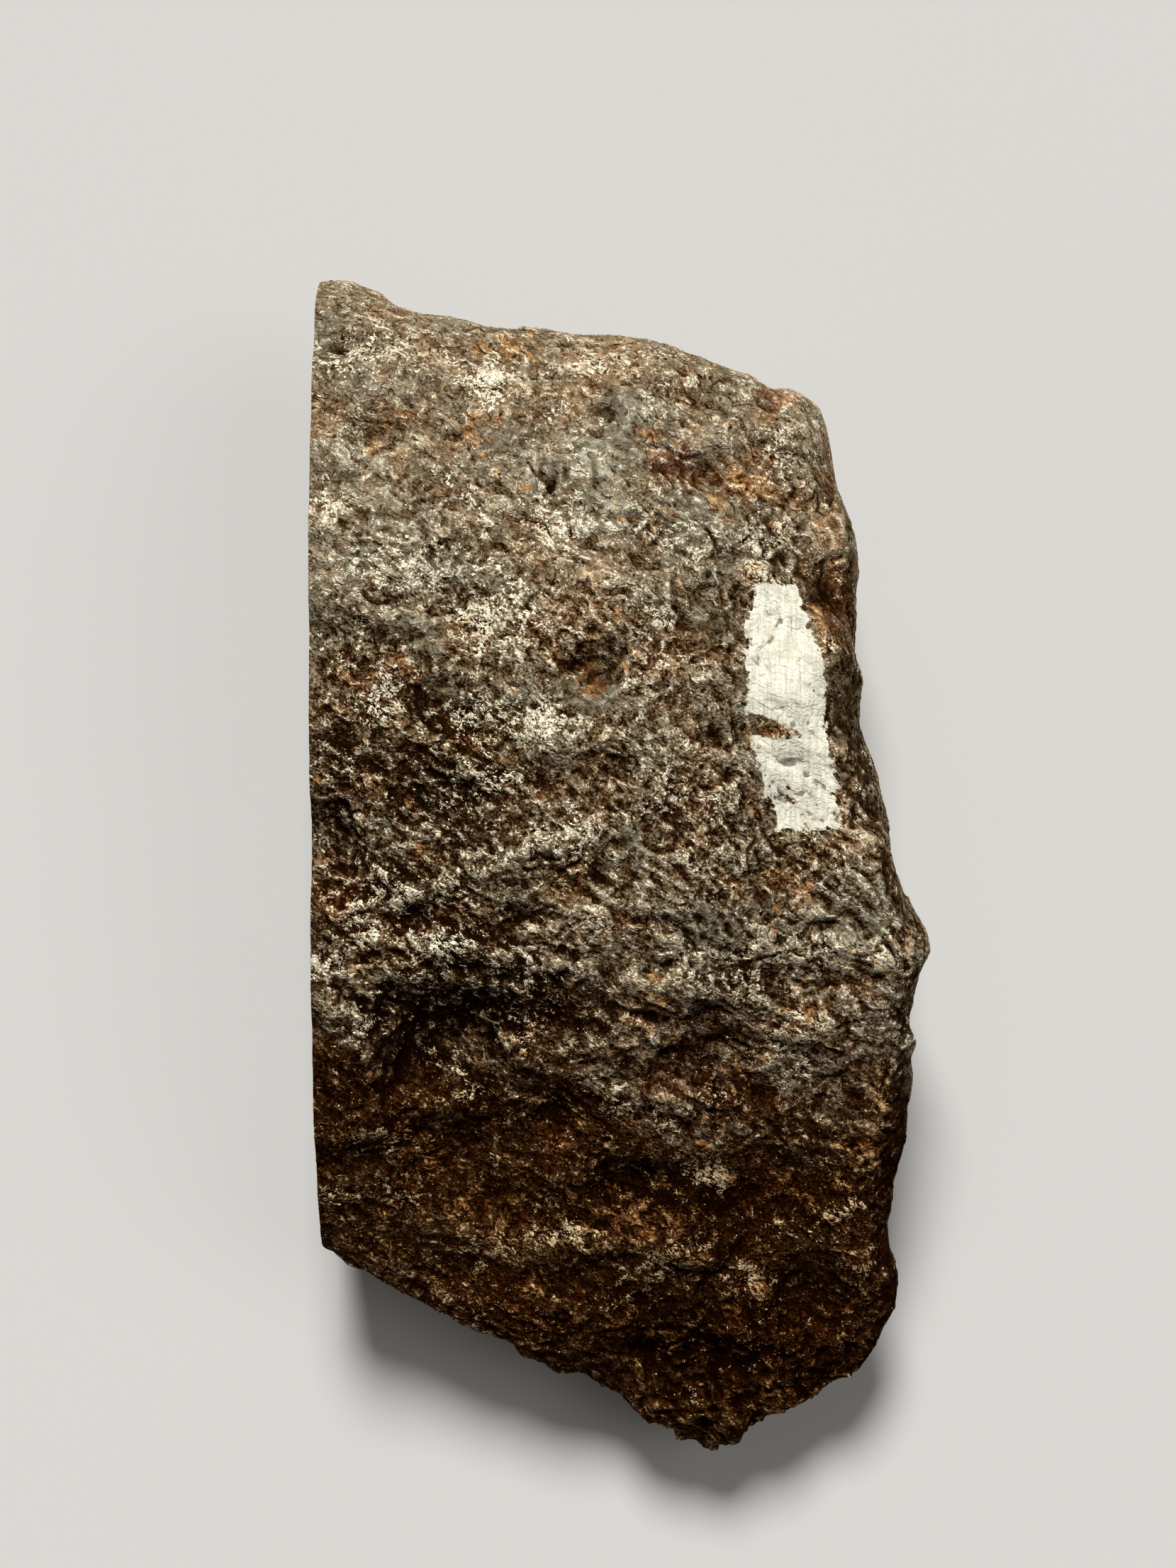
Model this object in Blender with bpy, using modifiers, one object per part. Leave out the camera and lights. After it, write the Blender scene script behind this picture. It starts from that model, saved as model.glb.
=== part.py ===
"""Iron meteorite: one heavy end piece of natural iron, sawn flat along one long side.

Metres, +Z up. The broad natural front looks up, the piece rests on a small flat spot of its
back, the sawn face looks along -X and the long side runs along Y. The origin is the middle of
the underside of the bounding box.
"""

import bpy
import numpy as np
from mathutils import Vector, noise

MM = 0.001

# Driving dimensions, in millimetres
LENGTH = 107.0  # along Y, top corner to the ragged lower tip
WIDTH = 54.0  # along X, sawn face to the corner of the right flank
THICKNESS = 31.0  # along Z, resting spot to the highest lump of the front
SAW_X = -WIDTH / 2
SAW_OVERRUN = 9.0  # how far the raw shape goes on past the saw cut

# Mesh density
VOXEL = 1.0
TRIANGLES = 10600

# Outline at the widest section, clockwise from the top corner, about the middle of the box
OUTLINE = [
    (SAW_X - SAW_OVERRUN, 54.2), (-24.1, 54.2), (-21.2, 53.2), (-19.6, 52.3), (-15.2, 51.5),
    (-10.6, 50.4), (-5.0, 49.8), (3.3, 49.0), (7.7, 48.1), (11.5, 46.0),
    (12.9, 44.5), (14.1, 44.9), (15.6, 44.4), (17.3, 42.8), (18.1, 40.3),
    (19.7, 34.6), (20.7, 29.8), (20.4, 21.2), (20.7, 14.3), (22.5, 6.8),
    (24.3, 0.5), (26.9, -6.5), (26.2, -9.6), (25.7, -13.0), (26.3, -14.8),
    (25.3, -16.2), (25.3, -21.5), (24.2, -26.3), (23.9, -31.4), (23.7, -40.2),
    (22.9, -44.0), (20.8, -46.2), (18.9, -47.0), (17.4, -48.5), (15.0, -50.4),
    (13.2, -51.4), (11.7, -51.4), (10.6, -53.2), (8.0, -54.0), (5.0, -52.2),
    (1.5, -50.7), (-2.4, -48.2), (-6.3, -46.4), (-11.6, -43.2), (-16.5, -40.7),
    (-21.3, -38.0), (-24.6, -35.8), (-27.0, -33.4), (-29.5, -29.5), (SAW_X - SAW_OVERRUN, -29.0),
]

# Height of the front at three stations across the width, as (y, z) down the length
FRONT_AT_SAW = [
    (54, 21.5), (50.5, 25.2), (46, 27.8), (41, 29.2), (35, 30.6), (7, 30.6), (2, 28.3),
    (-11, 28.0), (-16, 26.8), (-22, 25.3), (-26.5, 22.6), (-31.5, 19.3), (-36, 16.5),
]
FRONT_MIDDLE = [
    (54, 21.5), (48, 24.8), (39, 27.5), (24, 30.3), (14, 31.0), (3, 30.4), (-5, 28.7),
    (-9, 27.4), (-16, 24.4), (-29, 19.2), (-43, 14.2), (-54, 10.6),
]
FRONT_AT_RIGHT = [
    (48, 19.0), (42, 21.5), (30, 24.3), (15, 25.6), (0, 26.2), (-8, 25.8), (-16, 22.8),
    (-29, 18.0), (-42, 13.2), (-54, 10.0),
]
X_SAW_BLEND = (-25.0, -11.0)  # from the sawn edge's line of heights to the middle one
X_RIGHT_BLEND = (0.0, 22.0)  # from the middle line to the right flank's

# Back, flanks and rims
BACK_LIFT_X = 6.0  # rise of the back at the sawn face and the right flank
BACK_LIFT_TOP = 6.0  # rise of the back at the thick end
BACK_LIFT_TIP = 2.5  # and at the ragged tip
BELLY = (-2.0, 4.0)  # x, y of the lowest part of the back, under the centre of mass
BACK_SINK = 0.8  # how far the belly would dip below the resting spot
BELLY_CALM = 17.0  # radius around it where the lumps are lower
WIDEST = 0.6  # share of the thickness at which the flank stands out furthest
UNDERCUT = 0.32  # how far the flank draws in for each millimetre below its widest line
OVERCUT = 0.12  # and above it
MEAN_RADIUS = 36.0  # mean distance from the middle to the outline
RIM_FRONT = 3.4  # rounding radius at the edge of the front
RIM_BACK = 5.5

# Hollows pressed into the front: centre x, y, radius x, radius y, depth
FRONT_SCOOPS = [
    (-14.8, -12.9, 8.0, 6.6, 2.3), (-24.9, 3.8, 4.3, 6.7, 2.4), (-2.5, 19.0, 3.2, 3.2, 1.1),
    (-1.2, 10.5, 3.6, 2.6, 0.9), (-17.0, 8.1, 7.3, 5.5, 1.6), (3.6, 4.4, 3.2, 3.2, 0.9),
    (-8.5, -2.9, 4.4, 2.4, 0.9), (-5.5, -10.2, 4.4, 2.8, 1.0), (-17.8, -17.4, 3.8, 3.2, 0.8),
    (-5.6, -21.0, 5.0, 3.2, 1.1), (1.3, -27.8, 5.8, 3.8, 1.1), (11.5, -29.9, 6.4, 3.2, 0.9),
    (4.7, -44.3, 7.7, 5.2, 1.5), (17.5, -38.3, 5.1, 5.1, 1.1), (18.6, 25.9, 2.6, 4.4, 1.1),
    (-20.8, 39.9, 3.6, 3.2, 0.9), (7.3, 36.3, 5.2, 3.0, 1.3), (-1.2, 41.8, 2.4, 2.0, 0.8),
    (-9.5, 30.5, 5.0, 3.6, 0.7), (9.5, 14.0, 4.0, 5.0, 0.6), (8.0, -15.5, 5.2, 3.0, 0.9),
]

# Ridges and lumps on the front: start x, y, end x, y, radius, height
FRONT_RIDGES = [
    (-20.9, -4.9, -3.1, -7.9, 1.9, 1.1), (-20.7, -2.0, -3.1, 4.4, 2.2, 0.8),
    (-7.2, 13.2, -4.6, 12.6, 2.6, 0.8), (-3.2, -33.2, 7.6, -34.2, 1.8, 0.9),
    (1.8, -1.6, 6.4, -2.0, 1.9, 0.7), (12.4, -5.4, 15.0, -6.2, 2.4, 0.9),
    (19.0, -5.8, 21.6, -6.8, 2.4, 0.8), (14.6, -13.0, 17.4, -12.4, 2.1, 0.9),
    (-24.6, -11.4, -22.6, -12.6, 2.3, 1.0), (-16.0, -19.6, -13.4, -20.2, 2.2, 0.8),
    (-9.2, -15.3, -6.4, -16.2, 2.2, 0.8), (9.8, -37.6, 12.4, -38.2, 2.3, 0.8),
    (-19.6, 46.6, -9.0, 44.0, 2.0, 0.5), (-14.0, -31.5, -7.0, -34.5, 2.2, 0.7),
]

# Ledges: start x, y, end x, y, height of the step. The low side is on the right of the walk.
FRONT_LEDGES = [
    (-2.5, -9.4, -20.6, -6.6, 1.5), (14.0, -9.8, -1.8, -6.9, 1.1), (-10.6, 9.0, -19.6, 16.2, 1.3),
    (3.0, 26.0, -5.5, 29.0, 0.7), (16.0, 9.0, 9.0, 12.5, 0.7), (-12.0, 22.0, -22.5, 25.0, 0.8),
    (12.5, -19.5, 1.5, -17.5, 0.9), (21.0, -22.5, 14.0, -19.5, 0.8), (0.0, -38.5, -9.0, -37.0, 0.8),
    (3.5, -13.0, -4.0, -11.5, 0.7), (-3.0, 3.0, -12.5, 5.5, 0.7), (9.0, 41.5, 1.0, 43.5, 0.6),
]
LEDGE_FACE = 0.7  # half the width over which a ledge drops
LEDGE_REACH = 5.5  # how far the low side takes to come back up

# Broad thumbprints on the back and the flanks: centre x, y, z, radius, depth
SIDE_SCOOPS = [
    (-16.0, 30.0, 1.5, 10.0, 2.2), (14.5, 27.0, 3.0, 9.0, 1.9), (-17.0, -14.0, 1.5, 9.5, 2.0),
    (16.5, -22.0, 2.5, 10.0, 2.2), (2.0, -40.0, 2.5, 8.5, 1.5), (20.5, 4.0, 6.0, 7.5, 1.6),
    (-4.0, 44.5, 6.0, 8.5, 1.7), (20.0, 33.0, 13.0, 7.0, 1.2), (25.0, -32.0, 9.0, 6.5, 1.2),
    (8.0, 48.5, 12.0, 6.5, 1.1), (-14.0, -42.0, 9.0, 7.5, 1.2), (24.5, -2.0, 16.0, 6.0, 1.0),
]

# Seeded lumps all over: (length of a lump, height, stretch along X)
LUMPS = [(10.0, 0.9, 1.4), (5.2, 0.8, 1.7), (3.0, 0.5, 1.6)]
LUMP_SEED = Vector((31.7, -12.4, 58.3))


def clear_scene():
    for obj in list(bpy.data.objects):
        bpy.data.objects.remove(obj)


def new_collection(name):
    collection = bpy.data.collections.new(name)
    bpy.context.scene.collection.children.link(collection)
    return collection


def iron_material():
    """Dark brown, half metallic weathered iron."""
    material = bpy.data.materials.new("meteorite_iron")
    material.use_nodes = True
    shader = material.node_tree.nodes["Principled BSDF"]
    shader.inputs["Base Color"].default_value = (0.16, 0.12, 0.085, 1.0)
    shader.inputs["Roughness"].default_value = 0.55
    shader.inputs["Metallic"].default_value = 0.4
    return material


def evaluated_mesh(obj):
    graph = bpy.context.evaluated_depsgraph_get()
    return bpy.data.meshes.new_from_object(obj.evaluated_get(graph))


def raw_slab(collection):
    """The outline as a flat curve, thickened to a slab and rebuilt as an even mesh."""
    curve = bpy.data.curves.new("outline", "CURVE")
    curve.dimensions = "2D"
    curve.fill_mode = "BOTH"
    curve.extrude = THICKNESS / 2 * MM
    spline = curve.splines.new("POLY")
    spline.points.add(len(OUTLINE) - 1)
    for point, (x, y) in zip(spline.points, OUTLINE):
        point.co = (x * MM, y * MM, 0.0, 1.0)
    spline.use_cyclic_u = True
    slab = bpy.data.objects.new("outline", curve)
    collection.objects.link(slab)

    body = bpy.data.objects.new("meteorite", evaluated_mesh(slab))
    collection.objects.link(body)
    bpy.data.objects.remove(slab)

    weld = body.modifiers.new("join caps", "WELD")
    weld.merge_threshold = 0.0001
    remesh = body.modifiers.new("even mesh", "REMESH")
    remesh.mode = "VOXEL"
    remesh.voxel_size = VOXEL * MM
    body.data = evaluated_mesh(body)
    body.modifiers.clear()
    return body


def read_points(mesh, name="co"):
    """Positions in millimetres, or unit normals, as rows of x, y, z."""
    values = np.empty(len(mesh.vertices) * 3, np.float32)
    mesh.vertices.foreach_get(name, values)
    rows = values.reshape(-1, 3).astype(np.float64)
    return rows / MM if name == "co" else rows


def write_points(mesh, points):
    mesh.vertices.foreach_set("co", (points * MM).astype(np.float32).ravel())
    mesh.update()


def smooth_step(values, low, high):
    t = np.clip((values - low) / (high - low), 0.0, 1.0)
    return t * t * (3.0 - 2.0 * t)


def smooth_line(stations, at):
    """Heights along a hand-drawn line of stations, with its corners rounded over 8 mm."""
    y, z = np.array(sorted(stations)).T
    return np.mean([np.interp(at + shift, y, z) for shift in (-4, -2, 0, 2, 4)], axis=0)


def front_height(x, y):
    at_saw = smooth_line(FRONT_AT_SAW, y)
    middle = smooth_line(FRONT_MIDDLE, y)
    at_right = smooth_line(FRONT_AT_RIGHT, y)
    height = at_saw + (middle - at_saw) * smooth_step(x, *X_SAW_BLEND)
    return height + (at_right - height) * smooth_step(x, *X_RIGHT_BLEND)


def back_height(x, y):
    away_x, away_y = x - BELLY[0], y - BELLY[1]
    lift_y = np.where(away_y > 0, BACK_LIFT_TOP, BACK_LIFT_TIP)
    bowl = BACK_LIFT_X * (2 * away_x / WIDTH) ** 2 + lift_y * (2 * away_y / LENGTH) ** 2
    return bowl - BACK_SINK


def distance_to_outline(x, y):
    """How far each point lies from the nearest side of the outline."""
    corners = np.array(OUTLINE)
    best = np.full(len(x), np.inf)
    for (ax, ay), (bx, by) in zip(corners, np.roll(corners, -1, axis=0)):
        dx, dy = bx - ax, by - ay
        along = np.clip(((x - ax) * dx + (y - ay) * dy) / (dx * dx + dy * dy), 0, 1)
        best = np.minimum(best, np.hypot(x - ax - along * dx, y - ay - along * dy))
    return best


def rim_drop(distance, radius):
    """Height lost at a rounded edge, nothing beyond one radius from it."""
    inside = np.clip(1.0 - distance / radius, 0.0, 1.0)
    return radius * (1.0 - np.sqrt(1.0 - inside**2))


def shape_block(mesh):
    """Turns the flat slab into the leaning, round-edged block."""
    points = read_points(mesh)
    x, y = points[:, 0], points[:, 1]
    t = np.clip(points[:, 2] / THICKNESS + 0.5, 0.0, 1.0)

    distance = distance_to_outline(x, y)
    front, back = front_height(x, y), back_height(x, y)
    widest = back + (front - back) * WIDEST
    room = (front - back) * 0.4
    front = front - rim_drop(distance, np.minimum(RIM_FRONT, room))
    back = back + rim_drop(distance, np.minimum(RIM_BACK, room))
    z = back + (front - back) * t

    drawn_in = UNDERCUT * np.clip(widest - z, 0, None) + OVERCUT * np.clip(z - widest, 0, None)
    narrow = 1.0 - drawn_in / MEAN_RADIUS
    write_points(mesh, np.stack([x * narrow, y * narrow, z], axis=1))


def bump(squared):
    """One at the middle of a hollow or a lump, falling smoothly to nothing at its rim."""
    return np.clip(1.0 - squared, 0.0, 1.0) ** 2


def from_segment(x, y, ax, ay, bx, by):
    """Distance to a segment, side of it (positive on the right) and share of the way along."""
    dx, dy = bx - ax, by - ay
    length = np.hypot(dx, dy)
    along = ((x - ax) * dx + (y - ay) * dy) / length**2
    held = np.clip(along, 0.0, 1.0)
    side = ((x - ax) * dy - (y - ay) * dx) / length
    return np.hypot(x - ax - held * dx, y - ay - held * dy), side, along


def front_relief(points):
    """Scoops, ridges and ledges of the front, as height along the normal."""
    x, y = points[:, 0], points[:, 1]
    relief = np.zeros(len(points))
    for cx, cy, rx, ry, depth in FRONT_SCOOPS:
        relief -= depth * bump(((x - cx) / rx) ** 2 + ((y - cy) / ry) ** 2)
    for ax, ay, bx, by, radius, height in FRONT_RIDGES:
        distance, _, _ = from_segment(x, y, ax, ay, bx, by)
        relief += height * bump((distance / radius) ** 2)
    for ax, ay, bx, by, height in FRONT_LEDGES:
        _, side, along = from_segment(x, y, ax, ay, bx, by)
        ends = smooth_step(along, -0.12, 0.15) * (1 - smooth_step(along, 0.85, 1.12))
        low = smooth_step(side, -LEDGE_FACE, LEDGE_FACE) * np.clip(1 - side / LEDGE_REACH, 0, 1)
        high = bump(np.clip(side / LEDGE_FACE + 1, None, 0) ** 2 / 9.0) * (side < LEDGE_FACE)
        relief += height * ends * (0.35 * high * (1 - low) - 0.65 * low)
    return relief


def side_relief(points):
    relief = np.zeros(len(points))
    for cx, cy, cz, radius, depth in SIDE_SCOOPS:
        squared = ((points - (cx, cy, cz)) ** 2).sum(axis=1) / radius**2
        relief -= depth * bump(squared)
    return relief


def lump_relief(points):
    relief = np.zeros(len(points))
    for size, height, stretch in LUMPS:
        scale = Vector((1 / (size * stretch), 1 / size, 1 / size))
        relief += height * np.array([noise.noise(Vector(p) * scale + LUMP_SEED) for p in points])
    squared = ((points - (*BELLY, 0.0)) ** 2).sum(axis=1) / BELLY_CALM**2
    return relief * (1.0 - 0.7 * bump(squared))


def press_relief(mesh):
    """Moves every point along its normal by the relief of the side that it is on."""
    points, normals = read_points(mesh), read_points(mesh, "normal")
    on_front = smooth_step(normals[:, 2], 0.1, 0.5)
    relief = front_relief(points) * on_front
    relief += side_relief(points) * (1 - on_front)
    relief += lump_relief(points)
    write_points(mesh, points + normals * relief[:, None])


def fit_to_box(mesh):
    """Stretches the block slightly, so that its cut size is the driving dimensions."""
    points = read_points(mesh)
    x, y, z = points.T
    x_scale = (WIDTH / 2) / x.max()
    y_scale = LENGTH / (y[x > SAW_X].max() - y[x > SAW_X].min())
    y_middle = (y[x > SAW_X].max() + y[x > SAW_X].min()) / 2
    z_scale = THICKNESS / z[x > SAW_X].max()
    write_points(mesh, np.stack([x * x_scale, (y - y_middle) * y_scale, z * z_scale], axis=1))


def block_cutter(name, collection, low, high):
    """A box from its low to its high corner, in millimetres."""
    bpy.ops.mesh.primitive_cube_add(size=1)
    box = bpy.context.object
    box.name = name
    box.location = (Vector(low) + Vector(high)) / 2 * MM
    box.scale = (Vector(high) - Vector(low)) * MM
    bpy.ops.object.transform_apply(location=False, rotation=False, scale=True)
    for owner in list(box.users_collection):
        owner.objects.unlink(box)
    collection.objects.link(box)
    box.display_type = "WIRE"
    box.hide_render = True
    return box


def cut_away(body, cutter):
    boolean = body.modifiers.new("cut " + cutter.name, "BOOLEAN")
    boolean.operation = "DIFFERENCE"
    boolean.solver = "EXACT"
    boolean.object = cutter


def thin_out(body):
    """Leaves the faces where the relief needs them."""
    body.data.calc_loop_triangles()
    decimate = body.modifiers.new("thin out", "DECIMATE")
    decimate.ratio = TRIANGLES / len(body.data.loop_triangles)
    decimate.use_collapse_triangulate = True


def main():
    clear_scene()
    stone = new_collection("iron meteorite")
    cutters = new_collection("cutters")

    body = raw_slab(stone)
    shape_block(body.data)
    press_relief(body.data)
    fit_to_box(body.data)
    thin_out(body)
    body.data.materials.append(iron_material())

    far = 4 * LENGTH
    cut_away(body, block_cutter("saw_cut", cutters, (-far, -far, -far), (SAW_X, far, far)))
    cut_away(body, block_cutter("resting_spot", cutters, (-far, -far, -far), (far, far, 0)))
    body.data.shade_smooth()


main()
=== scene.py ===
import math

import bmesh
import bpy
import numpy as np
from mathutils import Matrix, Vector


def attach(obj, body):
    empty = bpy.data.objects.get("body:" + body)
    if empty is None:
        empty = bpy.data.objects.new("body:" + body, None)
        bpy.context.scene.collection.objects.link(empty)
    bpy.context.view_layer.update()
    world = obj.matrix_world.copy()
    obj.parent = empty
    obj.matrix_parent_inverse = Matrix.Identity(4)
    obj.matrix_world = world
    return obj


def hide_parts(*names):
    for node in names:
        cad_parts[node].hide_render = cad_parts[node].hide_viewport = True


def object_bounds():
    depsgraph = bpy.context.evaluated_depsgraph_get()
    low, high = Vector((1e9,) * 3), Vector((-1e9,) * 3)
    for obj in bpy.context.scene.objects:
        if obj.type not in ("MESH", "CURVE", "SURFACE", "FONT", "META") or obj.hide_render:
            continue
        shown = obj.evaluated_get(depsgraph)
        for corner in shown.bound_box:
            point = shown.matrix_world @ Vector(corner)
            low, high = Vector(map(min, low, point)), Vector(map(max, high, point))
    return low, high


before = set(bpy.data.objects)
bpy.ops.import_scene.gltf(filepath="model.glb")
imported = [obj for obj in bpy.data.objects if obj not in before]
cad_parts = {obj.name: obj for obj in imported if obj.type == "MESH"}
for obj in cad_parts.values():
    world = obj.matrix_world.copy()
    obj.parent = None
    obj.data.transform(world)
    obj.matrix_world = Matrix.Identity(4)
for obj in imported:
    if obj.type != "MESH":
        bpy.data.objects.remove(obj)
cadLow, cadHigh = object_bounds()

mm = 0.001
print("frame loaded")


class Sock:  # one output socket: sums and products on it add their own Math nodes
    def __init__(self, tree, socket=None):
        self.tree = tree
        self.socket = socket

    def make(self, kind, settings=None, inputs=None, output=0):  # any node, as one of its outputs
        node = self.tree.nodes.new(kind)
        for name, value in (settings or {}).items():
            if name == "stops":
                setStops(node.color_ramp, value)
            else:
                setattr(node, name, value)
        self.fill(node, inputs or {})
        return Sock(self.tree, node.outputs[output])

    def fill(self, node, inputs):  # numbers, colours or links into the sockets of a node
        for key, value in inputs.items():
            if isinstance(value, Sock):
                self.tree.links.new(value.socket, node.inputs[key])
            else:
                node.inputs[key].default_value = value

    def other(self, output):  # another output of the same node
        return Sock(self.tree, self.socket.node.outputs[output])

    def maths(self, operation, *values):
        return self.make("ShaderNodeMath", {"operation": operation}, dict(enumerate(values)))

    def vector(self, operation, *values):
        return self.make("ShaderNodeVectorMath", {"operation": operation}, dict(enumerate(values)))

    def __add__(self, other):
        return self.maths("ADD", self, other)

    def __radd__(self, other):
        return self.maths("ADD", other, self)

    def __sub__(self, other):
        return self.maths("SUBTRACT", self, other)

    def __rsub__(self, other):
        return self.maths("SUBTRACT", other, self)

    def __mul__(self, other):
        return self.maths("MULTIPLY", self, other)

    def __rmul__(self, other):
        return self.maths("MULTIPLY", other, self)

    def __truediv__(self, other):
        return self.maths("DIVIDE", self, other)

    def __rtruediv__(self, other):
        return self.maths("DIVIDE", other, self)

    def __abs__(self):
        return self.maths("ABSOLUTE", self)

    def larger(self, other):
        return self.maths("MAXIMUM", self, other)

    def smaller(self, other):
        return self.maths("MINIMUM", self, other)

    def ramp(self, low, high):  # smooth 0 to 1 between two values, or 1 to 0 if low is the higher
        return self.make("ShaderNodeMapRange", {"interpolation_type": "SMOOTHSTEP"},
                         {"Value": self, "From Min": low, "From Max": high})

    def part(self, axis):
        return self.make("ShaderNodeSeparateXYZ", None, {0: self}, axis)

    def between(self, first, second):  # the colour this far from the first to the second
        return self.make("ShaderNodeMix", {"data_type": "RGBA"}, {0: self, 6: first, 7: second}, 2)

    def blend(self, factor, other, kind="MIX"):  # this colour towards another
        return self.make("ShaderNodeMix", {"data_type": "RGBA", "blend_type": kind},
                         {0: factor, 6: self, 7: other}, 2)

    def noise(self, size, detail=2.0, rough=0.5, offset=0.0, stretch=(1, 1, 1), swirl=0.0):
        # noise here, its largest features about size across; offset picks another part of it
        scale = [1 / (size * s) for s in stretch]
        moved = self.vector("MULTIPLY_ADD", self, scale, (offset, offset, offset))
        return self.make("ShaderNodeTexNoise", None, {
            "Vector": moved, "Scale": 1.0, "Detail": detail, "Roughness": rough,
            "Distortion": swirl})

    def scaled(self, factor):  # this vector made longer or shorter
        return self.make("ShaderNodeVectorMath", {"operation": "SCALE"}, {0: self, "Scale": factor})

    def bent(self, size, reach):  # these coordinates pushed about by slow noise
        push = self.noise(size).other("Color")
        push = self.vector("SUBTRACT", push, (0.5, 0.5, 0.5))
        return self.vector("MULTIPLY_ADD", push, (2 * reach, 2 * reach, 2 * reach), self)

    def turned(self, angle):  # these coordinates turned about z
        return self.make("ShaderNodeVectorRotate", {"rotation_type": "Z_AXIS"},
                         {"Vector": self, "Angle": angle})


def setStops(ramp, stops):  # (position, colour) pairs
    while len(ramp.elements) > 1:
        ramp.elements.remove(ramp.elements[-1])
    ramp.elements[0].position, ramp.elements[0].color = stops[0]
    for position, colour in stops[1:]:
        ramp.elements.new(position).color = colour


def linkObject(name, data):
    item = bpy.data.objects.new(name, data)
    bpy.context.scene.collection.objects.link(item)
    return item


def bakeModifiers(piece):  # what its modifiers make becomes the piece's own mesh
    graph = bpy.context.evaluated_depsgraph_get()
    mesh = bpy.data.meshes.new_from_object(piece.evaluated_get(graph))
    piece.modifiers.clear()
    piece.data = mesh
    return mesh


def newMaterial(name):  # with its shader, and a Sock to start from in its tree
    material = bpy.data.materials.new(name)
    material.use_nodes = True
    tree = material.node_tree
    return material, tree.nodes["Principled BSDF"], Sock(tree)


# Camera: straight above the piece, as the photograph looks at it
cameraSettings = {
    "place": (-0.0031, 0.0083, 0.300),
    "lens": 72.5,
    "clipStart": 0.01,
}


def makeCamera():
    data = bpy.data.cameras.new("camera")
    data.lens = cameraSettings["lens"]
    data.clip_start = cameraSettings["clipStart"]
    camera = linkObject("camera", data)
    camera.location = cameraSettings["place"]
    bpy.context.scene.camera = camera


makeCamera()
print("camera made")


# Studio: pale floor, a soft key from the far side, weak fill all round, a pale horizon
studioSettings = {
    "floorSize": 20.0,
    "floorDrop": 0.02 * mm,  # under the resting spot
    "floorColour": (0.485, 0.475, 0.455, 1.0),
    "floorRough": 0.8,
    "keyFrom": (-0.05, 0.51, 0.54),
    "keySpread": math.radians(18),
    "keyStrength": 5.0,
    "fillFrom": (0.45, 0.10, 0.60),
    "fillSpread": math.radians(38),
    "fillStrength": 0.55,
    "worldColour": (1.0, 0.98, 0.945, 1.0),
    "worldStrength": 0.12,
    "horizonStrength": 0.66,
    "horizonRise": (0.40, 0.16),  # how high the pale band ends, and where it is whole
}


def softLight(name, place, spread, strength):  # from far away, in the direction of place
    data = bpy.data.lights.new(name, "SUN")
    data.angle = spread
    data.energy = strength
    light = linkObject(name, data)
    light.location = place
    aim = -light.location.normalized()
    light.rotation_euler = aim.to_track_quat("-Z", "Y").to_euler()


def makeStudio():
    half = studioSettings["floorSize"] / 2
    mesh = bpy.data.meshes.new("floor")
    corners = [(-half, -half, 0), (half, -half, 0), (half, half, 0), (-half, half, 0)]
    mesh.from_pydata(corners, [], [(0, 1, 2, 3)])
    floor = linkObject("floor", mesh)
    floor.location.z = -studioSettings["floorDrop"]
    paint, shader, start = newMaterial("floorPaint")
    start.fill(shader, {"Base Color": studioSettings["floorColour"],
                        "Roughness": studioSettings["floorRough"], "Specular IOR Level": 0.0})
    mesh.materials.append(paint)

    for name in ("key", "fill"):
        softLight(name, *(studioSettings[name + word] for word in ("From", "Spread", "Strength")))
    world = bpy.data.worlds.new("studio")
    world.use_nodes = True
    start = Sock(world.node_tree)
    rise = start.make("ShaderNodeTexCoord").other("Object").part(2)
    strength = studioSettings["worldStrength"] + rise.ramp(*studioSettings["horizonRise"]) * (
        studioSettings["horizonStrength"] - studioSettings["worldStrength"])
    start.fill(world.node_tree.nodes["Background"],
               {"Color": studioSettings["worldColour"], "Strength": strength})
    bpy.context.scene.world = world
    bpy.context.scene.view_settings.view_transform = "Standard"


makeStudio()
print("studio made")


# Stone: the whole piece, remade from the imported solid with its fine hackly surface
stoneSettings = {
    "voxel": 0.28 * mm,
    "smoothing": 8,
    "sawOverrun": 2.0 * mm,
    "spotOverrun": 0.4 * mm,
    "flatWithin": 0.02 * mm,  # a corner this near to a flat face lies on it
    "mergeWithin": 0.001 * mm,
    "triangles": 194000,
    "sharpAngle": math.radians(50),
}

# Relief: the inputs of its tree, sizes and heights in metres
reliefSettings = {
    "Warp Size": 5.0 * mm,
    "Warp Reach": 2.2 * mm,
    "Ledge Size": 5.0 * mm,
    "Ledge Steps": 7.0,
    "Ledge Height": 0.30 * mm,
    "Scale Size": 1.6 * mm,
    "Scale Height": 0.20 * mm,
    "Flake Size": 0.8 * mm,
    "Flake Height": 0.12 * mm,
    "Grain Size": 1.3 * mm,
    "Grain Height": 0.17 * mm,
    "Ridge Size": 1.9 * mm,
    "Ridge Height": 0.30 * mm,
    "Pit Size": 3.6 * mm,
    "Pit Depth": 0.40 * mm,
    "Tooth Size": 3.0 * mm,
    "Tooth Height": 0.5 * mm,
    "Flow Angle": 0.65,
    "Seed": 17.0,
}

# Where the relief changes, in millimetres: y where a change starts and where it is whole
reliefZones = {
    "ridgesTop": (22, 6),
    "ridgesFoot": (-20, -8),
    "raggedTip": (-36, -50),
    "toothedTip": (-38, -47),
    "flatterTop": (30, 42),
    "calmSize": 9.0,
    "paintMiddle": (14.6, 15.0),
    "paintHalf": (5.0, 12.5),
}

# Slow variations of the patina: name, size in millimetres, offset
slowNoises = [("slow", 7.0, 0.0), ("stray", 4.0, 19.0), ("cluster", 4.6, 29.0), ("hue", 6.0, 37.0)]


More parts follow.
